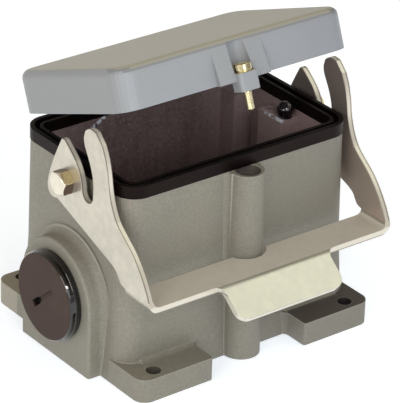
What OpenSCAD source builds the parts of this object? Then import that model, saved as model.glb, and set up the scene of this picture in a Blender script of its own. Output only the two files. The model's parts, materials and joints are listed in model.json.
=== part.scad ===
// Surface-mounting housing of a heavy duty rectangular connector:
// cast housing with side cable entry, single locking lever and a hinged cover with a captive screw.
// X runs along the housing (cable entry at -X), Y to the back (cover hinge), Z up from the mounting face.

/* [Housing] */
// Length of the housing at its rim (mm)
body_l = 131; // [126:0.5:136]
// Width of the housing at its rim (mm)
body_w = 85.7; // [82:0.1:90]
// Height of the housing from the mounting face to its rim (mm)
body_h = 96.6; // [92:0.1:110]
// Corner radius of the housing seen from above (mm)
body_r = 10.5; // [8:0.5:13]
// How much wider each side is at the mounting face than at the rim (mm)
body_flare = 3.5; // [2:0.1:4]
// Wall thickness at the rim (mm)
wall = 5.75; // [5.2:0.05:7]
// Thickness of the floor (mm)
floor_t = 5; // [3:0.5:8]

/* [Mounting feet] */
// Distance between the mounting holes along the housing (mm)
hole_x = 115; // [110:1:118]
// Distance between the mounting holes across the housing (mm)
hole_y = 108; // [106:1:110]
// Diameter of the mounting holes (mm)
hole_d = 7; // [5.5:0.5:8]
// Width of the base over the feet (mm)
foot_w = 121.4; // [118:0.2:124]
// Length of one foot (mm)
foot_l = 41.4; // [34:0.2:46]
// Height of a foot (mm)
foot_h = 12; // [8:0.5:16]

/* [Cable entry] */
// Height of the cable entry above the mounting face (mm)
entry_z = 33.5; // [31:0.5:36]
// Nominal thread diameter of the cable entry (mm)
entry_d = 40; // [32:1:41]
// Width of the pad's face all round the entry (mm)
pad_rim = 7.8; // [6:0.1:9]
// How far the pad's face lies from the middle of the housing (mm)
pad_x = 75.8; // [73:0.1:78]
// How far the blanking plug's head reaches past the entry all round (mm)
plug_flange = 2.3; // [2:0.1:4]

/* [Locking lever] */
// Sheet thickness of the lever (mm)
sheet = 3; // [2:0.25:3.25]
// How far the pivot lies below the rim (mm)
pivot_drop = 3.6; // [3.4:0.1:4.6]
// Distance of the pivot in front of the middle (mm)
pivot_y = 3.3; // [2:0.1:5]
// Width across flats of the pivot bolts (mm)
bolt_af = 11; // [10:1:13]
// Width of the finger tab on the lever (mm)
tab_w = 62; // [50:1:70]
// Length of the finger tab beyond its bend (mm)
tab_l = 16; // [12:0.5:22]
// Angle of the finger tab below the strap (degrees)
tab_a = 38; // [25:1:45]

/* [Cover] */
// Height of the cover (mm)
cover_h = 20.2; // [18:0.1:24]
// Wall thickness of the cover (mm)
cover_t = 3; // [2.5:0.1:3.5]
// How far the cover stands open in the stored position (degrees)
ajar = 21.7; // [0:0.1:60]
// Radius of the rounding along the cover's upper edges (mm)
cover_edge_r = 4; // [2:0.5:5]
// Diameter of the captive screw's head (mm)
screw_head_d = 8.8; // [8:0.1:9]

/* [Hidden] */

eps = 0.01;
run_gap = 0.05;      // radial clearance of a turning fit
side_gap = 0.1;      // clearance beside a turning piece
seal_gap = 0.3;      // clearance over the soft seal

pad_r = entry_d / 2 + pad_rim;
plug_d = entry_d + 2 * plug_flange;
pivot_z = body_h - pivot_drop;
in_l = body_l - 2 * wall;
in_w = body_w - 2 * wall;

// blanking plug
ring_t = 1.1;
plug_face = 5.3;
plug_grip = 12;
plug_floor = 1.5;

// posts that carry the contact inserts
post_top = body_h - 3.6;
post_in = 4.95;      // from the end wall to the middle posts' screws
post_y = 6;
post_tap = 1.65;

// rim gasket
gasket_w = 6.3;
gasket_h = 6.3;
gasket_out = 0.3;
gasket_base = 2.6;
rib_w = 1.6;
rib_h = 1.6;

// cover, measured closed
cover_l = body_l + 1.4;
cover_w = body_w + 2.6;
cover_z = body_h + gasket_h + seal_gap;
hinge_y = cover_w / 2 + 10.35;
hinge_z = cover_z + 6.8;
barrel_r = 4.6;
pin_r = 2.5;
ear_in = 18;
ear_out = 26;
screw_y = cover_w / 2 + 2.2;
lug_w = 10.9;
lug_front = screw_y + 4.3;
lug_drop = 5;
lug_top = 3.7;
shank_r = 1.9;
head_h = 3.1;

// screw column on the front of the housing
column_r = 9.5;      // at the mounting face
column_top_r = 8.3;
column_y = body_w / 2 + 3.2;
mouth_r = 6.2;
mouth_y = column_y + 0.6;
mouth_h = 4.5;

// lever
arm_in = body_l / 2 + 3.1;
arm_out = arm_in + sheet;
boss_out = arm_in - 0.6;
shoulder_r = 4;
strap_z = pivot_z - 38;
bend_in = 3;
bend_out = bend_in + sheet;
tab_bend = 3;
strap_front = pivot_y + 65.2;
strap_back = pivot_y + 46.5;
notch_r = column_r + 0.8;

cast_grey = [0.55, 0.54, 0.50];
cover_grey = [0.62, 0.64, 0.66];
black_rubber = [0.08, 0.07, 0.07];
zinc = [0.84, 0.82, 0.76];
brass = [0.80, 0.68, 0.38];
steel = [0.72, 0.70, 0.64];
plug_brown = [0.30, 0.24, 0.22];

// a rectangle with true round corners, centred
module plan(l, w, r) {
    square([l - 2 * r, w], center = true);
    square([l, w - 2 * r], center = true);
    for (x = [-1, 1], y = [-1, 1])
        translate([x * (l / 2 - r), y * (w / 2 - r)])
            circle(r, $fn = 32);
}

// a flat form drawn in Y and Z, standing from x0 to x1
module along_x(x0, x1) {
    translate([x0, 0, 0])
        rotate([90, 0, 90])
            linear_extrude(x1 - x0)
                children();
}

module rod_x(x0, x1, r) {
    translate([x0, 0, 0])
        rotate([0, 90, 0])
            cylinder(h = x1 - x0, r = r, $fn = 48);
}

// quarter hollow that fills an inside corner
module fillet_form(r) {
    difference() {
        square(r);
        translate([r, r])
            circle(r, $fn = 32);
    }
}

// smooth line through a list of points (Catmull-Rom), n steps a piece
function cr(a, b, c, d, t) = 0.5 * ((2 * b) + (c - a) * t + (2 * a - 5 * b + 4 * c - d) * t * t
    + (3 * b - a - 3 * c + d) * t * t * t);
function smooth(p, n = 4) = [
    for (i = [0 : len(p) - 2], k = [0 : n - 1])
        cr(p[max(i - 1, 0)], p[i], p[i + 1], p[min(i + 2, len(p) - 1)], k / n),
    p[len(p) - 1]
];

// ---------------------------------------------------------------- housing

// one level of the flaring outside, flare counted from the rim's outline
module level(z, flare) {
    translate([0, 0, z])
        linear_extrude(eps)
            plan(body_l + 2 * flare, body_w + 2 * flare * 0.9, body_r);
}

module outside() {
    hull() {
        level(0, body_flare);
        level(foot_h, body_flare * 0.66);
    }
    hull() {
        level(foot_h, body_flare * 0.66);
        level(body_h * 0.45, body_flare * 0.22);
    }
    hull() {
        level(body_h * 0.45, body_flare * 0.22);
        level(body_h - eps, 0);
    }
}

module foot() {
    x0 = body_l / 2 + body_flare - foot_l;
    x1 = body_l / 2 + body_flare;
    y1 = foot_w / 2;
    y0 = body_w / 2 - wall + 2;
    r = 6.5;
    linear_extrude(foot_h) {
        translate([x0, y0])
            square([foot_l - r, y1 - y0 - 1.2]);
        translate([x0 + 1.2, y0])
            square([foot_l - r - 1.2, y1 - y0]);
        translate([x0 + 1.2, y1 - 1.2])
            circle(1.2, $fn = 24);
        translate([x1 - r - eps, body_w / 2 - body_r + 2])
            square([r + eps, y1 - body_w / 2 + body_r - 2 - r]);
        translate([x1 - r, y1 - r])
            circle(r, $fn = 48);
        // inside corner against the wall
        translate([x0, body_w / 2 + body_flare * 0.9 - 1])
            mirror([1, 0])
                fillet_form(4);
    }
    // soft corner where the wall rises from the foot
    translate([0, body_w / 2 + body_flare * 0.6 - 0.6, foot_h - eps])
        along_x(x0, x1 - body_r)
            fillet_form(3.5);
}

// round edge of the entry pad's face, drawn as height over the wall against radius
function pad_edge(r, h, e) = [for (a = [0 : 22.5 : 90]) [r - e + e * cos(a), h - e + e * sin(a)]];

module entry_pad() {
    x1 = body_l / 2 - 2;
    h = pad_x - x1;
    edge = 1.2;
    translate([-x1, 0, entry_z])
        rotate([0, -90, 0])
            rotate([0, 0, -90])
                rotate_extrude(angle = 180, $fn = 96)
                    polygon(concat([[0, 0], [pad_r, 0]], pad_edge(pad_r, h, edge), [[0, h]]));
    side = pad_edge(pad_r, h, edge);
    linear_extrude(entry_z)
        polygon(concat([[-x1, -pad_r]], [for (q = side) [-x1 - q[1], -q[0]]],
            [for (i = [len(side) - 1 : -1 : 0]) [-x1 - side[i][1], side[i][0]]], [[-x1, pad_r]]));
    // rounded corner between the pad and the wall
    wall_x = body_l / 2 + 0.9;
    translate([-wall_x, 0, entry_z])
        rotate([0, -90, 0])
            rotate([0, 0, -90])
                rotate_extrude(angle = 180, $fn = 64)
                    translate([pad_r - eps, 0])
                        fillet_form(4);
    for (s = [-1, 1])
        translate([-wall_x, s * (pad_r - eps), 0])
            mirror([0, s < 0 ? 1 : 0, 0])
                mirror([1, 0, 0])
                    linear_extrude(entry_z)
                        fillet_form(4);
}

module column() {
    mid = (column_r + column_top_r) / 2;
    translate([0, -column_y, 0])
        cylinder(h = body_h, r1 = column_r, r2 = column_top_r, $fn = 64);
    translate([-mid, -column_y, 0])
        cube([2 * mid, column_y - body_w / 2 + 2, body_h]);
    for (s = [-1, 1])
        translate([s * (mid - eps), -body_w / 2 + eps, 0])
            mirror([s < 0 ? 1 : 0, 0, 0])
                mirror([0, 1, 0])
                    linear_extrude(body_h - 1)
                        fillet_form(3);
}

module hinge_ear() {
    // cast ear that rises behind the rim and carries the hinge pin
    along_x(ear_in, ear_out) {
        translate([hinge_y, hinge_z])
            circle(barrel_r, $fn = 48);
        polygon([[body_w / 2 - 2, body_h - 34], [body_w / 2 + 1.2, body_h - 34],
            [hinge_y + barrel_r * 0.94, hinge_z - barrel_r * 0.35], [hinge_y, hinge_z],
            [hinge_y - barrel_r * 0.985, hinge_z - barrel_r * 0.17],
            [cover_w / 2 + 0.6, cover_z - 1.5], [cover_w / 2 + 0.6, body_h - 1],
            [body_w / 2 - 2, body_h - 1]]);
    }
}

module insert_post(x, y, l, w) {
    translate([x - l / 2, y - w / 2, floor_t - eps])
        cube([l, w, post_top - floor_t]);
}

module housing() {
    color(cast_grey) difference() {
        union() {
            difference() {
                union() {
                    outside();
                    for (x = [0, 1], y = [0, 1])
                        mirror([x, 0, 0]) mirror([0, y, 0])
                            foot();
                    entry_pad();
                    column();
                    for (s = [0, 1])
                        mirror([s, 0, 0]) {
                            hinge_ear();
                            translate([0, -pivot_y, pivot_z])
                                intersection() {
                                    rod_x(body_l / 2 - 2, boss_out, 8);
                                    translate([0, -10, -10])
                                        cube([body_l, 20, body_h - pivot_z + 10]);
                                }
                        }
                }
                translate([0, 0, floor_t])
                    linear_extrude(body_h)
                        plan(in_l, in_w, body_r - 4);
            }
            // posts that carry the contact inserts
            for (s = [-1, 1]) {
                insert_post(s * (in_l / 2 - post_in + 0.1), 0, 2 * post_in, 2 * post_y + 6);
                for (y = [-1, 1])
                    insert_post(s * (in_l / 2 - 5), y * (in_w / 2 - 5), 12, 12);
            }
            // rib that holds the gasket
            translate([0, 0, body_h - 1])
                linear_extrude(rib_h + 1)
                    difference() {
                        plan(body_l - 2 * 2.1, body_w - 2 * 2.1, body_r - 2.1);
                        plan(body_l - 2 * (2.1 + rib_w), body_w - 2 * (2.1 + rib_w), body_r - 2.1 - rib_w);
                    }
        }
        // mounting holes
        for (x = [-1, 1], y = [-1, 1])
            translate([x * hole_x / 2, y * hole_y / 2, -1])
                cylinder(h = foot_h + 2, r = hole_d / 2, $fn = 48);
        // cable entry
        translate([0, 0, entry_z])
            rod_x(-pad_x - 1, -in_l / 2 + 1, entry_d / 2);
        // cover screw: open mouth that takes the cover's lug, then the tapped length
        translate([0, -mouth_y, body_h - mouth_h])
            cylinder(h = mouth_h + 1, r = mouth_r, $fn = 48);
        translate([0, -screw_y, body_h - 32])
            cylinder(h = 30, r = 2.5, $fn = 32);
        // pivot bolts
        for (s = [0, 1])
            mirror([s, 0, 0])
                translate([0, -pivot_y, pivot_z])
                    rod_x(body_l / 2 - wall - 5, boss_out + 1, 2.5);
        // hinge pin
        translate([0, hinge_y, hinge_z])
            rod_x(-ear_out - 1, ear_out + 1, pin_r + 0.01);
        // tapped holes in the posts
        for (s = [-1, 1]) {
            for (y = [-1, 1]) {
                translate([s * (in_l / 2 - post_in), y * post_y, post_top - 14])
                    cylinder(h = 15, r = post_tap, $fn = 24);
                translate([s * (in_l / 2 - 7), y * (in_w / 2 - 7), post_top - 14])
                    cylinder(h = 15, r = post_tap, $fn = 24);
            }
        }
        // shallow hollow under the floor
        translate([0, 0, -1])
            linear_extrude(2.2)
                plan(in_l - 6, in_w - 6, body_r - 4);
    }
}

// ---------------------------------------------------------------- seals, plug, inside screw

module ring_form(out, w) {
    difference() {
        plan(body_l + 2 * out, body_w + 2 * out, body_r + out);
        plan(body_l + 2 * (out - w), body_w + 2 * (out - w), body_r + out - w);
    }
}

module rim_gasket() {
    color(black_rubber)
        translate([0, 0, body_h])
            difference() {
                union() {
                    linear_extrude(gasket_h)
                        ring_form(gasket_out, 2.2);
                    linear_extrude(gasket_base)
                        ring_form(gasket_out, gasket_w);
                    linear_extrude(gasket_h - 0.5)
                        ring_form(gasket_out - gasket_w + 1.7, 1.7);
                }
                // slot over the rib
                translate([0, 0, -1])
                    linear_extrude(rib_h + 1.05)
                        difference() {
                            plan(body_l - 2 * 2.05, body_w - 2 * 2.05, body_r - 2.05);
                            plan(body_l - 2 * (2.15 + rib_w), body_w - 2 * (2.15 + rib_w), body_r - 2.15 - rib_w);
                        }
            }
}

module entry_plug() {
    r = plug_d / 2;
    grip = entry_d / 2;
    face = plug_face;
    color(plug_brown)
        translate([-pad_x - ring_t, 0, entry_z])
            rotate([0, -90, 0])
                difference() {
                    rotate_extrude($fn = 96)
                        polygon([[0, -plug_floor], [grip - 4, -plug_floor], [grip - 4, -plug_grip],
                            [grip - 0.9, -plug_grip], [grip - run_gap, -plug_grip + 1],
                            [grip - run_gap, 0], [r - 0.4, 0], [r, 0.4], [r, 2], [r - 0.3, 2.3],
                            [r - 0.3, face - 1.6], [r - 0.35, face - 1.2],
                            [r - 0.6, face - 0.6], [r - 1.1, face - 0.1], [r - 1.7, face], [0, face]]);
                    // coin slot that ends in a deeper pocket
                    rotate([0, 0, 41]) {
                        translate([-1, -9.2, face - 0.9])
                            cube([2, 14, 2]);
                        translate([-1.7, 4.2, face - 2.6])
                            cube([3.4, 7, 4]);
                    }
                }
}

module plug_ring() {
    color(black_rubber)
        translate([-pad_x - ring_t + 0.02, 0, entry_z])
            rotate([0, 90, 0])
                difference() {
                    cylinder(h = ring_t - 0.04, r = plug_d / 2 - 0.6, $fn = 96);
                    translate([0, 0, -1])
                        cylinder(h = ring_t + 2, r = entry_d / 2 + 0.1, $fn = 96);
                }
}

module insert_screw() {
    dome = 4.4;
    collar = 2.1;
    color([0.06, 0.05, 0.06])
        translate([in_l / 2 - post_in, -post_y, post_top])
            rotate_extrude($fn = 48)
                union() {
                    translate([0, collar])
                        intersection() {
                            translate([0, dome * 0.37])
                                circle(dome, $fn = 48);
                            square([dome + 1, 2 * dome]);
                        }
                    square([dome - 0.9, collar + 0.1]);
                    translate([0, -10])
                        square([post_tap - run_gap, 11]);
                }
}

// ---------------------------------------------------------------- lever and its pivots

module pivot_bolts() {
    color(steel)
        for (s = [0, 1])
            mirror([s, 0, 0])
                translate([0, -pivot_y, pivot_z]) {
                    rod_x(body_l / 2 - wall + 0.5, boss_out + 0.5, 2.48);
                    rod_x(boss_out, arm_out + side_gap + 0.2, shoulder_r);
                    // hexagon head with a chamfered outer face
                    intersection() {
                        translate([arm_out + side_gap, 0, 0])
                            rotate([0, 90, 0])
                                rotate([0, 0, 15])
                                    cylinder(h = 5.8, r = bolt_af / 2 / cos(30), $fn = 6);
                        translate([arm_out + side_gap, 0, 0])
                            rotate([0, 90, 0])
                                union() {
                                    cylinder(h = 4.6, r = 7.5, $fn = 48);
                                    translate([0, 0, 4.6 - eps])
                                        cylinder(h = 1.21, r1 = 6.6, r2 = 5.2, $fn = 48);
                                }
                    }
                }
}

module pivot_washers() {
    color(steel)
        for (s = [0, 1])
            mirror([s, 0, 0])
                translate([boss_out + 0.02, -pivot_y, pivot_z])
                    rotate([0, 90, 0])
                        difference() {
                            cylinder(h = 0.5, r = 7, $fn = 48);
                            translate([0, 0, -1])
                                cylinder(h = 3, r = shoulder_r + run_gap, $fn = 48);
                        }
}

// outline of one arm, seen from the side, measured from the pivot (back, up)
hook_front = [[-26.6, 28.6], [-29.3, 23], [-31.3, 15.7], [-32.5, 8.5], [-34.3, 2.6], [-36.6, -2.4],
    [-39.9, -6.8], [-45.7, -11.4], [-50.9, -15.6], [-56.1, -21.4], [-61.3, -29.2], [-65.2, -37.4]];
arm_low = [[-46.5, -35.4], [-43.3, -34.4], [-41.3, -32], [-39.3, -29.4], [-35.5, -27.4]];
lobe = [[7.8, -12.1], [11.7, -12.8], [14.6, -11.1], [15.6, -6.8], [13.7, 0.2], [10.1, 8.9],
    [4.4, 19.9]];
ear_front = [[2.4, 19.9], [-1.6, 16.9], [-6.1, 12.9], [-9.2, 8.6], [-11.1, 4.4], [-11.9, -0.1]];
hook_back = [[-20.7, -0.1], [-20.9, 5], [-20.3, 9.6], [-18.7, 14.6], [-16.5, 19], [-13.7, 24],
    [-13, 27.6]];
hook_top = [[-14, 31.2], [-17.3, 33.5], [-21.9, 33.2]];
slot_low = [for (a = [10 : 20 : 170]) [-16.3 + 4.4 * cos(a), -0.1 - 4.4 * sin(a)]];

module arm_form() {
    low = strap_z - sheet - 1 - pivot_z;
    translate([-pivot_y, pivot_z])
        difference() {
            polygon(concat(smooth(hook_front, 3),
                [[-strap_front + pivot_y, low], [-strap_back + pivot_y, low]],
                smooth(arm_low, 3), smooth(lobe, 4), smooth(ear_front, 3), slot_low, smooth(hook_back, 3),
                smooth(hook_top, 4)));
            circle(shoulder_r + run_gap, $fn = 48);
        }
}

// the sheet folded to a U, seen from the front
module fold_form() {
    w = arm_out;
    difference() {
        union() {
            translate([-w, strap_z - sheet + bend_out])
                square([2 * w, 80]);
            translate([-w + bend_out, strap_z - sheet])
                square([2 * (w - bend_out), bend_out + 1]);
            for (s = [-1, 1])
                translate([s * (w - bend_out), strap_z - sheet + bend_out])
                    circle(bend_out, $fn = 48);
        }
        translate([-arm_in, strap_z + bend_in])
            square([2 * arm_in, 130]);
        translate([-arm_in + bend_in, strap_z])
            square([2 * (arm_in - bend_in), 130]);
        for (s = [-1, 1])
            translate([s * (arm_in - bend_in), strap_z + bend_in])
                circle(bend_in, $fn = 48);
    }
}

// finger tab: side view of its bend, and its outline seen square on
function arc(c, r, a0, a1, n) = [for (i = [0 : n]) let (a = a0 + (a1 - a0) * i / n) c + r * [cos(a), sin(a)]];

module tab_side() {
    b = tab_bend;
    c = [-strap_front, strap_z - sheet - b];
    run = (tab_l + 6) * [-cos(tab_a), -sin(tab_a)];
    top = arc(c, b + sheet, 90, 90 + tab_a, 6);
    low = arc(c, b, 90 + tab_a, 90, 6);
    polygon(concat([[-strap_front + 8, strap_z]], top, [top[6] + run, low[0] + run], low,
        [[-strap_front + 8, strap_z - sheet]]));
}

module tab_outline() {
    r = 6;
    h = tab_w / 2;
    root = (tab_bend + sheet) * sin(tab_a);
    translate([-h, -tab_l + r])
        square([tab_w, tab_l - r + 12]);
    translate([-h + r, -tab_l])
        square([tab_w - 2 * r, tab_l]);
    for (s = [-1, 1])
        translate([s * (h - r), -tab_l + r])
            circle(r, $fn = 48);
    // sheet runs round the inside corners at the root
    for (s = [0, 1])
        mirror([s, 0]) {
            translate([h - eps, root])
                mirror([0, 1])
                    fillet_form(5);
            translate([h - eps, root - eps])
                square([5, 12 - root]);
        }
}

module lever() {
    color(zinc) union() {
        difference() {
            intersection() {
                rotate([90, 0, 0])
                    translate([0, 0, -20])
                        linear_extrude(100)
                            fold_form();
                along_x(-arm_out - 1, arm_out + 1)
                    arm_form();
            }
            // round notch that clears the column
            translate([0, -column_y, strap_z - sheet - 1])
                linear_extrude(sheet + 2)
                    circle(notch_r, $fn = 64);
        }
        intersection() {
            along_x(-tab_w, tab_w)
                tab_side();
            translate([0, -strap_front, strap_z - sheet - tab_bend])
                rotate([tab_a, 0, 0])
                    translate([0, 0, -20])
                        linear_extrude(60)
                            tab_outline();
        }
    }
}

// ---------------------------------------------------------------- hinge pin

module hinge_pin() {
    color(steel)
        translate([0, hinge_y, hinge_z])
            difference() {
                rod_x(-ear_out - 2.4, ear_out + 2.4, pin_r);
                for (s = [-1, 1])
                    translate([s * (ear_out + 0.9), 0, 0])
                        difference() {
                            rod_x(-0.45, 0.45, pin_r + 1);
                            rod_x(-1, 1, pin_r - 0.5);
                        }
            }
}

module pin_clips() {
    color(steel)
        for (s = [-1, 1])
            translate([s * (ear_out + 0.9), hinge_y, hinge_z])
                difference() {
                    rod_x(-0.4, 0.4, pin_r + 2);
                    rod_x(-1, 1, pin_r - 0.45);
                    translate([-1, -1.6, -6])
                        cube([2, 3.2, 6]);
                }
}

// ---------------------------------------------------------------- cover and captive screw

// places a piece that is drawn with the cover closed
module opened() {
    translate([0, hinge_y, hinge_z])
        rotate([-ajar, 0, 0])
            translate([0, -hinge_y, -hinge_z])
                children();
}

module shell(inset, h, edge) {
    l = cover_l - 2 * inset;
    w = cover_w - 2 * inset;
    r = body_r - inset;
    hull() {
        for (x = [-1, 1], y = [-1, 1])
            translate([x * (l / 2 - r), y * (w / 2 - r), 0]) {
                cylinder(h = h - edge, r = r, $fn = 32);
                for (a = [18, 36, 54, 72, 90])
                    translate([0, 0, h - edge + edge * sin(a) - 0.01])
                        cylinder(h = 0.01, r = r - edge + edge * cos(a), $fn = 32);
            }
    }
}

module cover() {
    front = -cover_w / 2;
    color(cover_grey) opened() difference() {
        union() {
            difference() {
                translate([0, 0, cover_z])
                    shell(0, cover_h, cover_edge_r);
                translate([0, 0, cover_z - eps])
                    shell(cover_t, cover_h - cover_t, 2);
            }
            // wedge-shaped pad on the front, thickest at the lower edge
            along_x(-14.5, 14.5)
                polygon([[front + 1.5, cover_z], [front - 3.4, cover_z], [front - 3.2, cover_z + 2],
                    [front, cover_z + cover_h - 3.6], [front + 1.5, cover_z + cover_h - 3.6]]);
            // lug that carries the screw
            difference() {
                translate([-lug_w / 2, -lug_front, cover_z - lug_drop])
                    cube([lug_w, lug_front + front + 0.5, lug_drop + lug_top]);
                for (s = [-1, 1])
                    translate([s * lug_w / 2, -lug_front, cover_z - lug_drop - 1])
                        rotate([0, 0, s > 0 ? 90 : 0])
                            linear_extrude(20)
                                fillet_form(2);
            }
            // wall behind the screw channel, inside the cover
            translate([-8, front + 1.5, cover_z + lug_top])
                cube([16, 4, cover_h - lug_top - 2]);
            // hinge tongue
            along_x(-ear_in + 0.4, ear_in - 0.4) {
                translate([hinge_y, hinge_z])
                    circle(barrel_r, $fn = 48);
                polygon([[-front - 1.5, cover_z + 0.6], [-front + 1, cover_z + 0.6],
                    [hinge_y - 1, hinge_z - barrel_r * 0.97], [hinge_y - 1, hinge_z + barrel_r * 0.97],
                    [-front - 1.5, hinge_z + barrel_r + 1.4]]);
            }
        }
        // channel for the screw's head
        translate([0, -screw_y, cover_z + lug_top])
            cylinder(h = cover_h - 2 - lug_top, r = 5.3, $fn = 48);
        translate([-5.3, -screw_y - 8, cover_z + lug_top])
            cube([10.6, 8, cover_h - 2 - lug_top]);
        // hole for the screw's shank
        translate([0, -screw_y, cover_z - lug_drop - 1])
            cylinder(h = lug_drop + lug_top + 2, r = shank_r + run_gap, $fn = 32);
        // bore for the hinge pin
        translate([0, hinge_y, hinge_z])
            rod_x(-ear_in, ear_in, pin_r + run_gap);
    }
}

module screw_washer() {
    color(brass) opened()
        translate([0, -screw_y, cover_z + lug_top + 0.02])
            difference() {
                cylinder(h = 0.9, r = 4, $fn = 48);
                translate([0, 0, -1])
                    cylinder(h = 4, r = shank_r + run_gap, $fn = 32);
            }
}

module cover_screw() {
    z0 = lug_top + 0.97;
    color(brass) opened()
        translate([0, -screw_y, cover_z])
            difference() {
                union() {
                    translate([0, 0, -13.8])
                        cylinder(h = 13.8 + z0 + 1, r = shank_r, $fn = 48);
                    translate([0, 0, -14.3])
                        cylinder(h = 0.51, r1 = 1.4, r2 = shank_r, $fn = 48);
                    translate([0, 0, z0])
                        cylinder(h = head_h - 0.5, r = screw_head_d / 2, $fn = 48);
                    translate([0, 0, z0 + head_h - 0.51])
                        cylinder(h = 0.51, r1 = screw_head_d / 2, r2 = screw_head_d / 2 - 0.5, $fn = 48);
                }
                translate([-6, -0.6, z0 + head_h - 1.6])
                    cube([12, 1.2, 3]);
            }
}

housing();
rim_gasket();
entry_plug();
plug_ring();
insert_screw();
pivot_bolts();
pivot_washers();
lever();
hinge_pin();
pin_clips();
cover();
screw_washer();
cover_screw();
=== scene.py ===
import json
import math

import bpy
from mathutils import Matrix, Vector


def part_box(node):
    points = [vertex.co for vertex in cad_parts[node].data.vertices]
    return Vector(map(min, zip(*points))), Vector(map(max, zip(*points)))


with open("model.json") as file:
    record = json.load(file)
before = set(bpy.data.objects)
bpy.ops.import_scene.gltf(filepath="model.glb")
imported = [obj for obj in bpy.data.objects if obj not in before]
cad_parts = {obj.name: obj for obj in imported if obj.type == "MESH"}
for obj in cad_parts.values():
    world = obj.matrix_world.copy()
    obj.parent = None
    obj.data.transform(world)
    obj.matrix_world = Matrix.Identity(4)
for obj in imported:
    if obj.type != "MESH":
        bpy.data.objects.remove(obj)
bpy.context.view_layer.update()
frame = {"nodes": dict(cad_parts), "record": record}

# Housing: one aluminium pressure die-casting with four feet, a cable entry pad and a screw column.
# It is powder-coated olive grey outside. The inside keeps a dark plum dip coat, with runs down
# the walls.
_, housing_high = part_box("housing")
rim_z = housing_high.z - 0.018
wall_mid_x, wall_mid_y, floor_z = 0.0625, 0.0400, 0.003
foot_top_z, foot_hole_x, foot_hole_y, foot_hole_r = 0.0120, 0.0575, 0.054, 0.0037
column_y, mouth_r = -0.04665, 0.00632
# where the painted reflection streak lies on the back wall, and its slant
wall_glint_x, wall_glint_z, wall_glint_cos, wall_glint_sin = -0.0254, 0.0940, 0.90, 0.44


def new_finish(name):
    finish = bpy.data.materials.new(name)
    finish.use_nodes = True
    tree = finish.node_tree
    shader = tree.nodes["Principled BSDF"]
    return finish, tree, shader


def place_of(tree):
    return tree.nodes.new("ShaderNodeTexCoord").outputs["Object"]


def grain(tree, place, scale, detail=3.0, rough=0.55, stretch=None):
    """Noise over the piece, scale in waves a metre."""
    noise = tree.nodes.new("ShaderNodeTexNoise")
    noise.inputs["Scale"].default_value = scale
    noise.inputs["Detail"].default_value = detail
    noise.inputs["Roughness"].default_value = rough
    if stretch:
        mapping = tree.nodes.new("ShaderNodeMapping")
        mapping.inputs["Scale"].default_value = stretch
        tree.links.new(place, mapping.inputs["Vector"])
        place = mapping.outputs["Vector"]
    tree.links.new(place, noise.inputs["Vector"])
    return noise.outputs["Fac"]


def levels(tree, value, low, high, start, end):
    remap = tree.nodes.new("ShaderNodeMapRange")
    ends = (("From Min", low), ("From Max", high), ("To Min", start), ("To Max", end))
    for key, number in ends:
        remap.inputs[key].default_value = number
    tree.links.new(value, remap.inputs["Value"])
    return remap.outputs["Result"]


def sums(tree, kind, a, b=None):
    node = tree.nodes.new("ShaderNodeMath")
    node.operation = kind
    for socket, value in zip(node.inputs, (a, b)):
        if value is None:
            continue
        if isinstance(value, (int, float)):
            socket.default_value = value
        else:
            tree.links.new(value, socket)
    return node.outputs[0]


def blend_colour(tree, amount, first, second):
    mix = tree.nodes.new("ShaderNodeMix")
    mix.data_type = "RGBA"
    if isinstance(amount, (int, float)):
        mix.inputs[0].default_value = amount
    else:
        tree.links.new(amount, mix.inputs[0])
    for socket, value in ((mix.inputs[6], first), (mix.inputs[7], second)):
        if isinstance(value, tuple):
            socket.default_value = (*value, 1.0)
        else:
            tree.links.new(value, socket)
    return mix.outputs[2]


def surface_relief(tree, shader, heights, edge=0.0):
    """Chains bumps of (height, metres, strength) over an eased edge of that radius."""
    normal = None
    if edge:
        eased = tree.nodes.new("ShaderNodeBevel")
        eased.samples = 6
        eased.inputs["Radius"].default_value = edge
        normal = eased.outputs["Normal"]
    for height, metres, strength in heights:
        bump = tree.nodes.new("ShaderNodeBump")
        bump.inputs["Distance"].default_value = metres
        bump.inputs["Strength"].default_value = strength
        tree.links.new(height, bump.inputs["Height"])
        if normal is not None:
            tree.links.new(normal, bump.inputs["Normal"])
        normal = bump.outputs["Normal"]
    tree.links.new(normal, shader.inputs["Normal"])


def edges_of(tree, radius, start=0.03, end=0.30):
    """1 along the piece's outer edges and 0 on its flats, by how far the eased edge leans."""
    eased = tree.nodes.new("ShaderNodeBevel")
    eased.samples = 6
    eased.inputs["Radius"].default_value = radius
    flat = tree.nodes.new("ShaderNodeNewGeometry")
    lean = tree.nodes.new("ShaderNodeVectorMath")
    lean.operation = "DOT_PRODUCT"
    tree.links.new(eased.outputs["Normal"], lean.inputs[0])
    tree.links.new(flat.outputs["Normal"], lean.inputs[1])
    leaning = sums(tree, "SUBTRACT", 1.0, lean.outputs["Value"])
    return levels(tree, leaning, start, end, 0.0, 1.0)


def split(tree, vector):
    parts = tree.nodes.new("ShaderNodeSeparateXYZ")
    tree.links.new(vector, parts.inputs[0])
    return parts.outputs[0], parts.outputs[1], parts.outputs[2]


def both(tree, *masks):
    whole = masks[0]
    for mask in masks[1:]:
        whole = sums(tree, "MULTIPLY", whole, mask)
    return whole


def within(tree, value, middle, reach):
    """1 where the value lies within reach of the middle."""
    away = sums(tree, "ABSOLUTE", sums(tree, "SUBTRACT", value, middle))
    return sums(tree, "LESS_THAN", away, reach)


def near(tree, a, b, reach):
    """1 where two offsets together are shorter than reach."""
    square = sums(tree, "ADD", sums(tree, "MULTIPLY", a, a), sums(tree, "MULTIPLY", b, b))
    return sums(tree, "LESS_THAN", square, reach * reach)


def dress(node, finish):
    mesh = frame["nodes"][node].data
    mesh.materials.clear()
    mesh.materials.append(finish)


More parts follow.
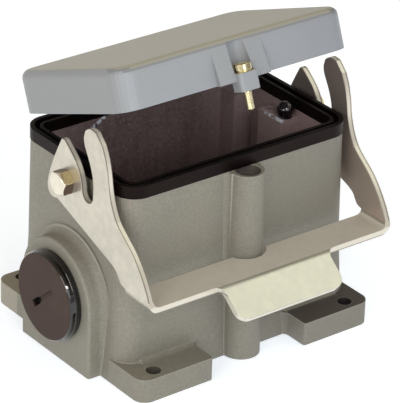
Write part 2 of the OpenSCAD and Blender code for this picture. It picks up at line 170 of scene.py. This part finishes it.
cast_olive, tree, shader = new_finish("cast_olive")
place = place_of(tree)
x, y, z = split(tree, place)
side_x, side_y = sums(tree, "ABSOLUTE", x), sums(tree, "ABSOLUTE", y)
inside = both(tree, sums(tree, "LESS_THAN", side_x, wall_mid_x),
              sums(tree, "LESS_THAN", side_y, wall_mid_y), sums(tree, "GREATER_THAN", z, floor_z))
clouds = grain(tree, place, 26.0, 2.0)
mottle = grain(tree, place, 240.0, 3.0)
speckle = grain(tree, place, 950.0, 3.0)
olive = blend_colour(tree, levels(tree, clouds, 0.3, 0.7, 0.0, 1.0),
                     (0.224, 0.212, 0.174), (0.250, 0.236, 0.193))
olive = blend_colour(tree, levels(tree, mottle, 0.4, 0.75, 0.0, 0.45), olive, (0.205, 0.196, 0.172))
olive = blend_colour(tree, levels(tree, speckle, 0.42, 0.72, 0.0, 0.60), olive,
                     (0.330, 0.320, 0.285))
# painted shade: the coat is darker towards the end away from the entry and on the far feet's
# tops; it is also darker towards the bottom
nx, ny, nz = split(tree, tree.nodes.new("ShaderNodeTexCoord").outputs["Normal"])
olive = blend_colour(tree, levels(tree, x, -0.02, 0.055, 0.0, 0.5), olive, (0.168, 0.160, 0.142))
olive = blend_colour(tree, levels(tree, z, 0.045, 0.005, 0.0, 0.24), olive, (0.176, 0.161, 0.124))
far_foot_shade = both(tree, within(tree, z, foot_top_z, 0.0006), sums(tree, "GREATER_THAN", nz, 0.9),
                sums(tree, "GREATER_THAN", x, 0.0))
olive = blend_colour(tree, both(tree, far_foot_shade, 0.96), olive, (0.072, 0.060, 0.054))
# painted light: the back foot at the entry end is painted paler
back_foot_light = both(tree, sums(tree, "LESS_THAN", x, -0.030), sums(tree, "GREATER_THAN", y, 0.042),
                 sums(tree, "LESS_THAN", z, foot_top_z + 0.0005))
olive = blend_colour(tree, both(tree, back_foot_light, 0.9), olive, (0.345, 0.320, 0.262))
# painted highlight: the coat is painted bright on the edges; painted shade: it is painted dark in
# the foot holes and in the column's mouth
olive = blend_colour(tree, both(tree, edges_of(tree, 0.0010, 0.01, 0.16), 0.65), olive,
                     (0.56, 0.55, 0.50))
foot_hole = near(tree, sums(tree, "SUBTRACT", side_x, foot_hole_x),
                 sums(tree, "SUBTRACT", side_y, foot_hole_y), foot_hole_r)
mouth = both(tree, near(tree, x, sums(tree, "SUBTRACT", y, column_y), mouth_r),
             sums(tree, "LESS_THAN", z, rim_z - 0.0002))
hole_shade = blend_colour(tree, sums(tree, "LESS_THAN", x, 0.0),
                         (0.028, 0.020, 0.018), (0.085, 0.080, 0.060))
olive = blend_colour(tree, foot_hole, olive, hole_shade)
olive = blend_colour(tree, both(tree, mouth, 0.75), olive, (0.085, 0.066, 0.060))
runs = grain(tree, place, 1.0, 5.0, 0.7, (300.0, 300.0, 22.0))
blotch = grain(tree, place, 160.0, 4.0)
pits = grain(tree, place, 620.0, 3.0)
plum = blend_colour(tree, levels(tree, runs, 0.40, 0.70, 0.0, 0.6),
                    (0.255, 0.190, 0.186), (0.130, 0.084, 0.080))
plum = blend_colour(tree, levels(tree, blotch, 0.42, 0.72, 0.0, 0.7), plum, (0.165, 0.108, 0.102))
plum = blend_colour(tree, levels(tree, pits, 0.55, 0.68, 0.0, 0.8), plum, (0.330, 0.270, 0.270))
plum = blend_colour(tree, levels(tree, pits, 0.40, 0.32, 0.0, 0.7), plum, (0.040, 0.022, 0.020))
# the dip coat is paler towards the ends, and painted shade darkens it towards the floor
plum = blend_colour(tree, levels(tree, side_x, 0.030, 0.052, 0.0, 0.52), plum, (0.46, 0.34, 0.34))
plum = blend_colour(tree, levels(tree, z, 0.030, 0.094, 0.85, 0.0), plum, (0.040, 0.021, 0.019))
# painted glints: bright bluish highlights on the inner ends of the insert posts' tops, and a
# painted reflection streak on the back wall
from_x, from_z = sums(tree, "SUBTRACT", x, wall_glint_x), sums(tree, "SUBTRACT", z, wall_glint_z)
along = sums(tree, "ADD", both(tree, from_x, wall_glint_cos), both(tree, from_z, wall_glint_sin))
aside = sums(tree, "SUBTRACT", both(tree, from_z, wall_glint_cos), both(tree, from_x, wall_glint_sin))
wall_glint = both(tree, within(tree, along, 0.0, 0.0046), within(tree, aside, 0.0, 0.0010),
            sums(tree, "GREATER_THAN", y, 0.036))
post_glint = both(tree, within(tree, side_x, 0.0504, 0.0009),
                 within(tree, z, rim_z - 0.0036, 0.0012), within(tree, y, -0.0035, 0.0075))
painted_glints = both(tree, sums(tree, "MAXIMUM", wall_glint, post_glint),
            levels(tree, pits, 0.42, 0.52, 0.0, 1.0), inside)
plum = blend_colour(tree, painted_glints, plum, (0.80, 0.83, 0.92))
tree.links.new(blend_colour(tree, inside, olive, plum), shader.inputs["Base Color"])
tree.links.new(sums(tree, "SUBTRACT", levels(tree, speckle, 0.3, 0.7, 0.50, 0.62),
                    sums(tree, "MULTIPLY", inside, 0.14)), shader.inputs["Roughness"])
shader.inputs["Specular IOR Level"].default_value = 0.45
peel = grain(tree, place, 620.0, 2.0)
surface_relief(tree, shader, [(peel, 0.00022, 0.30), (speckle, 0.00010, 0.40)], 0.0009)
dress("housing", cast_olive)

# Rim seal: one moulded ring of black rubber, pressed over the rib on the rim, with a raised lip
# outside and inside and a groove between them.
seal_black, tree, shader = new_finish("seal_black")
place = place_of(tree)
bloom = grain(tree, place, 60.0, 4.0)
fine = grain(tree, place, 1500.0, 2.0)
rubber = blend_colour(tree, levels(tree, bloom, 0.35, 0.75, 0.0, 1.0),
                      (0.003, 0.0016, 0.0016), (0.008, 0.0042, 0.0038))
tree.links.new(rubber, shader.inputs["Base Color"])
tree.links.new(levels(tree, fine, 0.3, 0.7, 0.36, 0.48), shader.inputs["Roughness"])
shader.inputs["Specular IOR Level"].default_value = 0.15
shader.inputs["Specular Tint"].default_value = (1.0, 0.78, 0.74, 1.0)
surface_relief(tree, shader, [(fine, 0.00006, 0.3)], 0.0005)
dress("rim_gasket", seal_black)

# Blanking plug: a brown moulded disc screwed into the cable entry, matt on its face where the mould
# is eroded and polished round its rim, with a coin slot. A black rubber ring under its head seals
# it to the entry pad.
plug_low, plug_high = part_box("entry_plug")
plug_mid_z = (plug_low.z + plug_high.z) / 2
plug_radius = (plug_high.z - plug_low.z) / 2
plug_brown, tree, shader = new_finish("plug_brown")
place = place_of(tree)
x, y, z = split(tree, place)
up = sums(tree, "SUBTRACT", z, plug_mid_z)
reach = sums(tree, "SQRT", sums(tree, "ADD", both(tree, up, up), both(tree, y, y)))
polished = levels(tree, reach, plug_radius - 0.0011, plug_radius - 0.0008, 0.0, 1.0)
eroded = grain(tree, place, 2200.0, 2.0)
patches = grain(tree, place, 55.0, 3.0)
face = blend_colour(tree, levels(tree, patches, 0.35, 0.7, 0.0, 1.0),
                    (0.040, 0.021, 0.015), (0.052, 0.029, 0.021))
face = blend_colour(tree, levels(tree, eroded, 0.4, 0.7, 0.0, 0.25), face, (0.085, 0.055, 0.045))
# painted shade: the slot's floor, more than 1.1 mm behind the face, is painted near black
slot_shade = both(tree, sums(tree, "GREATER_THAN", x, plug_low.x + 0.0011),
                  sums(tree, "LESS_THAN", reach, 0.0150))
face = blend_colour(tree, slot_shade, face, (0.002, 0.001, 0.001))
tree.links.new(blend_colour(tree, polished, face, (0.003, 0.0015, 0.002)),
               shader.inputs["Base Color"])
tree.links.new(polished, shader.inputs["Coat Weight"])
shader.inputs["Coat Roughness"].default_value = 0.05
tree.links.new(sums(tree, "SUBTRACT", levels(tree, eroded, 0.3, 0.7, 0.56, 0.66),
                    sums(tree, "MULTIPLY", polished, 0.46)), shader.inputs["Roughness"])
shader.inputs["Specular IOR Level"].default_value = 0.28
matt_height = sums(tree, "MULTIPLY", eroded, sums(tree, "SUBTRACT", 1.0, polished))
surface_relief(tree, shader, [(matt_height, 0.00005, 0.4)], 0.0003)
dress("entry_plug", plug_brown)

ring_black, tree, shader = new_finish("ring_black")
place = place_of(tree)
fine = grain(tree, place, 1800.0, 2.0)
tree.links.new(blend_colour(tree, fine, (0.008, 0.008, 0.008), (0.016, 0.015, 0.014)),
               shader.inputs["Base Color"])
tree.links.new(levels(tree, fine, 0.3, 0.7, 0.42, 0.52), shader.inputs["Roughness"])
dress("plug_ring", ring_black)

# Dome screw: turned steel with a glossy black lacquer, on a short collar. It is screwed into the
# post that would hold the end of a contact insert.
dome_black, tree, shader = new_finish("dome_black")
place = place_of(tree)
wavy = grain(tree, place, 300.0, 2.0)
tree.links.new(blend_colour(tree, wavy, (0.006, 0.004, 0.005), (0.012, 0.009, 0.010)),
               shader.inputs["Base Color"])
tree.links.new(levels(tree, wavy, 0.3, 0.7, 0.05, 0.12), shader.inputs["Roughness"])
shader.inputs["Coat Weight"].default_value = 0.6
surface_relief(tree, shader, [(wavy, 0.00008, 0.15)])
dress("insert_screw", dome_black)

# Pivot bolts and their spacers: hexagon shoulder bolts and thin washers of zinc-plated steel with a
# warm passivation. The lever's arms turn on the shoulders.


def plated(name, dark, light, rough_low, rough_high, scale=240.0, edge=0.0003):
    """Plated or turned metal: faint clouding of its colour and gloss over fine relief."""
    finish, tree, shader = new_finish(name)
    place = place_of(tree)
    cloud = grain(tree, place, scale, 4.0)
    fine = grain(tree, place, scale * 8.0, 2.0)
    tree.links.new(blend_colour(tree, levels(tree, cloud, 0.3, 0.7, 0.0, 1.0), dark, light),
                   shader.inputs["Base Color"])
    shader.inputs["Metallic"].default_value = 1.0
    tree.links.new(levels(tree, cloud, 0.3, 0.7, rough_low, rough_high), shader.inputs["Roughness"])
    surface_relief(tree, shader, [(fine, 0.000004, 0.3)], edge)
    return finish


bolt_gold = plated("bolt_gold", (0.74, 0.68, 0.56), (0.86, 0.80, 0.68), 0.22, 0.30)
# painted reflection: the flats are painted dark brown, and golden on the flat that faces front and
# up, with a painted highlight on their edges
tree = bolt_gold.node_tree
shader = tree.nodes["Principled BSDF"]
turned = shader.inputs["Base Color"].links[0].from_socket
nx, ny, nz = split(tree, tree.nodes.new("ShaderNodeTexCoord").outputs["Normal"])
flats = sums(tree, "LESS_THAN", sums(tree, "ABSOLUTE", nx), 0.45)
lit_flat = both(tree, within(tree, nz, 0.70, 0.15), sums(tree, "LESS_THAN", ny, 0.0))
flat_colour = blend_colour(tree, lit_flat, (0.150, 0.105, 0.085), (0.66, 0.57, 0.36))
flat_colour = blend_colour(tree, edges_of(tree, 0.0004, 0.02, 0.12), flat_colour,
                           (0.90, 0.84, 0.72))
tree.links.new(blend_colour(tree, flats, turned, flat_colour), shader.inputs["Base Color"])
dress("pivot_bolts", bolt_gold)
dress("pivot_washers", plated("washer_zinc", (0.58, 0.54, 0.46), (0.70, 0.66, 0.58), 0.28, 0.36))

# Locking lever: 3 mm sheet steel, blanked and folded in one piece into two hooked arms, a strap and
# a finger tab, then zinc-plated with a cream passivation. The blanked edges are bright, with dark
# lines along them.
_, lever_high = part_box("lever")
sheet_gauge, strap_top, tab_start_y = 0.003, 0.0550, -0.0690
edge_line_from_face, edge_line_half = 0.0006, 0.0003
lever_zinc, tree, shader = new_finish("lever_zinc")
place = place_of(tree)
x, y, z = split(tree, place)
nx, ny, nz = split(tree, tree.nodes.new("ShaderNodeTexCoord").outputs["Normal"])
side_x, side_nx, side_ny = (sums(tree, "ABSOLUTE", value) for value in (x, nx, ny))
cloud = grain(tree, place, 90.0, 4.0, 0.6)
spangle = grain(tree, place, 260.0, 3.0)
cream = blend_colour(tree, levels(tree, cloud, 0.3, 0.7, 0.0, 1.0),
                     (0.60, 0.558, 0.470), (0.68, 0.638, 0.540))
cream = blend_colour(tree, levels(tree, spangle, 0.4, 0.65, 0.0, 0.50), cream, (0.52, 0.50, 0.44))
on_arm = both(tree, sums(tree, "GREATER_THAN", side_x, lever_high.x - sheet_gauge - 0.0004),
              sums(tree, "GREATER_THAN", z, strap_top + 0.003))
off_arm = sums(tree, "SUBTRACT", 1.0, on_arm)
on_tab = sums(tree, "LESS_THAN", y, tab_start_y)
cut = sums(tree, "MAXIMUM", both(tree, on_arm, sums(tree, "LESS_THAN", side_nx, 0.5)),
           both(tree, off_arm, sums(tree, "GREATER_THAN", side_ny, 0.70)))
cut = sums(tree, "MAXIMUM", cut, both(tree, on_tab, sums(tree, "GREATER_THAN", side_nx, 0.6)))
uncut = sums(tree, "SUBTRACT", 1.0, cut)
dark_edge_line = both(tree, on_arm,
            sums(tree, "MAXIMUM", within(tree, side_x, lever_high.x - edge_line_from_face, edge_line_half),
                 within(tree, side_x, lever_high.x - sheet_gauge, edge_line_half)))
dark_edge_line = sums(tree, "MAXIMUM", dark_edge_line,
            both(tree, off_arm, within(tree, z, strap_top - 0.0028, edge_line_half)))
edge_colour = blend_colour(tree, both(tree, dark_edge_line, 0.8), (0.71, 0.67, 0.585), (0.20, 0.165, 0.14))
# painted reflection: the arms' inner faces are painted mauve, mirroring the housing's walls; the
# tab is greener, and the strap's top more matt
inner = both(tree, on_arm, sums(tree, "LESS_THAN", both(tree, x, nx), 0.0), uncut)
cream = blend_colour(tree, both(tree, inner, 0.8), cream, (0.70, 0.585, 0.535))
cream = blend_colour(tree, both(tree, on_tab, 0.5), cream, (0.66, 0.675, 0.615))
on_strap = both(tree, off_arm, sums(tree, "SUBTRACT", 1.0, on_tab), uncut,
                sums(tree, "GREATER_THAN", nz, 0.5))
cream = blend_colour(tree, both(tree, on_strap, 0.6), cream, (0.70, 0.66, 0.62))
tree.links.new(blend_colour(tree, cut, cream, edge_colour), shader.inputs["Base Color"])
mirror = levels(tree, cut, 0.0, 1.0, 0.80, 0.45)
tree.links.new(sums(tree, "SUBTRACT", mirror, both(tree, on_strap, 0.56)),
               shader.inputs["Metallic"])
tree.links.new(levels(tree, spangle, 0.3, 0.7, 0.28, 0.32), shader.inputs["Roughness"])
surface_relief(tree, shader, [(spangle, 0.00003, 0.14), (cloud, 0.0002, 0.03)], 0.00022)
dress("lever", lever_zinc)

# Hinge pin and its two clips: a drawn steel pin through the ears and the cover's tongue, held at
# each end by a pressed spring-steel clip in a groove.
dress("hinge_pin", plated("pin_steel", (0.50, 0.49, 0.47), (0.62, 0.61, 0.58), 0.22, 0.30))
dress("pin_clips", plated("clip_steel", (0.24, 0.23, 0.22), (0.34, 0.33, 0.31), 0.30, 0.40))

# Cover: a shallow die-cast lid with a wedge-shaped pad and a lug for its screw, powder-coated blue
# grey. The coat has a fine, even texture.
cover_blue, tree, shader = new_finish("cover_blue")
place = place_of(tree)
clouds = grain(tree, place, 22.0, 2.0)
speckle = grain(tree, place, 1100.0, 3.0)
coat = blend_colour(tree, levels(tree, clouds, 0.3, 0.7, 0.0, 1.0),
                    (0.320, 0.342, 0.376), (0.350, 0.370, 0.406))
coat = blend_colour(tree, levels(tree, speckle, 0.4, 0.7, 0.0, 0.3), coat, (0.38, 0.40, 0.44))
# painted shade on the left end's face and towards the right end, a painted warm light on the top,
# painted shade where the top turns over, and a painted highlight on the lower edges
nx, ny, nz = split(tree, tree.nodes.new("ShaderNodeTexCoord").outputs["Normal"])
coat = blend_colour(tree, levels(tree, nx, -0.55, -0.95, 0.0, 0.85), coat, (0.262, 0.272, 0.282))
coat = blend_colour(tree, levels(tree, split(tree, place)[0], -0.01, 0.05, 0.0, 0.5), coat,
                    (0.250, 0.262, 0.310))
painted_top_light = levels(tree, nz, 0.895, 0.925, 0.0, 1.0)
coat = blend_colour(tree, both(tree, painted_top_light, 0.75), coat, (0.460, 0.430, 0.325))
crease_shade = both(tree, within(tree, nz, 0.805, 0.11), sums(tree, "LESS_THAN", ny, 0.30))
coat = blend_colour(tree, both(tree, crease_shade, 0.45), coat, (0.17, 0.18, 0.19))
painted_edge_highlight = both(tree, edges_of(tree, 0.0010, 0.05, 0.35), sums(tree, "LESS_THAN", nz, 0.30), 0.6)
coat = blend_colour(tree, painted_edge_highlight, coat, (0.60, 0.63, 0.67))
tree.links.new(coat, shader.inputs["Base Color"])
tree.links.new(levels(tree, speckle, 0.3, 0.7, 0.34, 0.44), shader.inputs["Roughness"])
shader.inputs["Specular IOR Level"].default_value = 0.5
surface_relief(tree, shader, [(speckle, 0.00008, 0.25)], 0.0008)
dress("cover", cover_blue)

# Captive screw and its washer: turned brass, with a slotted cheese head. The screw is kept in the
# cover's lug, and its shank has a rolled thread below the cover.
thread_pitch, thread_top = 0.0007, 0.1095
screw_brass = plated("screw_brass", (0.66, 0.57, 0.34), (0.80, 0.71, 0.47), 0.12, 0.18, 400.0,
                     0.0002)
tree = screw_brass.node_tree
shader = tree.nodes["Principled BSDF"]
place = place_of(tree)
lengthwise = tree.nodes.new("ShaderNodeVectorMath")
lengthwise.operation = "DOT_PRODUCT"
screw_turn = next(joint for joint in frame["record"]["behaviour"]["joints"]
                  if joint["name"] == "screw_turn")
lengthwise.inputs[1].default_value = screw_turn["axis"]
tree.links.new(place, lengthwise.inputs[0])
height = lengthwise.outputs["Value"]
turns = sums(tree, "SINE", sums(tree, "MULTIPLY", height, 2 * math.pi / thread_pitch))
threaded = sums(tree, "LESS_THAN", height, thread_top)
thread = tree.nodes.new("ShaderNodeBump")
thread.inputs["Distance"].default_value = 0.00008
thread.inputs["Strength"].default_value = 0.5
tree.links.new(both(tree, turns, threaded), thread.inputs["Height"])
tree.links.new(shader.inputs["Normal"].links[0].from_socket, thread.inputs["Normal"])
tree.links.new(thread.outputs["Normal"], shader.inputs["Normal"])
dress("cover_screw", screw_brass)
washer_brass = plated("washer_brass", (0.62, 0.48, 0.22), (0.72, 0.58, 0.30), 0.20, 0.30, 400.0,
                      0.0001)
dress("screw_washer", washer_brass)

# Studio: a pale floor, a soft sky that is warmer overhead and darker to the right, and soft lights
# from the left, from the front and from the upper right. A small one in front puts the glint on
# polished pieces.
floor_mesh = bpy.data.meshes.new("floor")
half = 4.0
corners = [(-half, -half, 0), (half, -half, 0), (half, half, 0), (-half, half, 0)]
floor_mesh.from_pydata(corners, [], [(0, 1, 2, 3)])
floor = bpy.data.objects.new("floor", floor_mesh)
bpy.context.scene.collection.objects.link(floor)
floor_white, tree, shader = new_finish("floor_white")
place = place_of(tree)
tree.links.new(blend_colour(tree, grain(tree, place, 3.0, 2.0),
                            (0.90, 0.90, 0.895), (0.92, 0.92, 0.915)), shader.inputs["Base Color"])
shader.inputs["Roughness"].default_value = 0.9
shader.inputs["Emission Color"].default_value = (0.80, 0.88, 1.0, 1.0)
shader.inputs["Emission Strength"].default_value = 0.60
floor_mesh.materials.append(floor_white)

sky = bpy.data.worlds.new("sky")
sky.use_nodes = True
bpy.context.scene.world = sky
tree = sky.node_tree
direction = tree.nodes.new("ShaderNodeTexCoord").outputs["Generated"]
sky_x, sky_y, sky_z = split(tree, direction)
sky_colour = blend_colour(tree, levels(tree, sky_z, 0.10, 0.90, 0.0, 1.0),
                          (0.97, 0.965, 0.95), (0.48, 0.39, 0.25))
sky_colour = blend_colour(tree, levels(tree, sky_x, -0.1, 0.9, 0.0, 0.75), sky_colour,
                          (0.14, 0.12, 0.11))
tree.links.new(sky_colour, tree.nodes["Background"].inputs["Color"])
tree.nodes["Background"].inputs["Strength"].default_value = 0.76


def soft_light(name, place, aim, width, watts, colour):
    lamp = bpy.data.lights.new(name, "AREA")
    lamp.shape = "SQUARE"
    lamp.size = width
    lamp.energy = watts
    lamp.color = colour
    held = bpy.data.objects.new(name, lamp)
    held.location = place
    held.rotation_euler = (Vector(aim) - Vector(place)).to_track_quat("-Z", "Y").to_euler()
    bpy.context.scene.collection.objects.link(held)


soft_light("left_light", (-1.7, -0.7, 0.9), (0, 0, 0.06), 1.0, 9.0, (1.0, 0.96, 0.88))
soft_light("front_light", (-0.4, -1.8, 0.9), (0, 0, 0.06), 1.0, 6.5, (0.86, 0.93, 1.0))
soft_light("tab_light", (1.0, -0.50, 1.4), (0, 0, 0.06), 1.3, 5.6, (0.97, 1.0, 0.88))
soft_light("glint_light", (-0.55, -1.25, 1.05), (0, 0, 0.09), 0.16, 2.6, (1.0, 0.98, 0.95))

# Camera: a long lens, 1.4 m back, from the front left and above. It is aimed at about the middle
# of the housing and leans slightly.
azimuth, elevation, roll = math.radians(-38.0263), math.radians(27.4791), math.radians(1.845)
back = Vector((math.sin(azimuth) * math.cos(elevation), -math.cos(azimuth) * math.cos(elevation),
               math.sin(elevation)))
right = Vector((math.cos(azimuth), math.sin(azimuth), 0))
upward = back.cross(right)
across = math.cos(roll) * right + math.sin(roll) * upward
upright = -math.sin(roll) * right + math.cos(roll) * upward
eye = 1.371396 * back + 0.0087373 * across + 0.0532001 * upright
lens = bpy.data.cameras.new("camera")
lens.sensor_fit = "HORIZONTAL"
lens.sensor_width = 36.0
lens.lens = 252.0
lens.clip_end = 20.0
camera = bpy.data.objects.new("camera", lens)
camera.matrix_world = Matrix((
    (across.x, upright.x, back.x, eye.x),
    (across.y, upright.y, back.y, eye.y),
    (across.z, upright.z, back.z, eye.z),
    (0, 0, 0, 1)))
bpy.context.scene.collection.objects.link(camera)
bpy.context.scene.camera = camera
bpy.context.scene.view_settings.view_transform = "Standard"
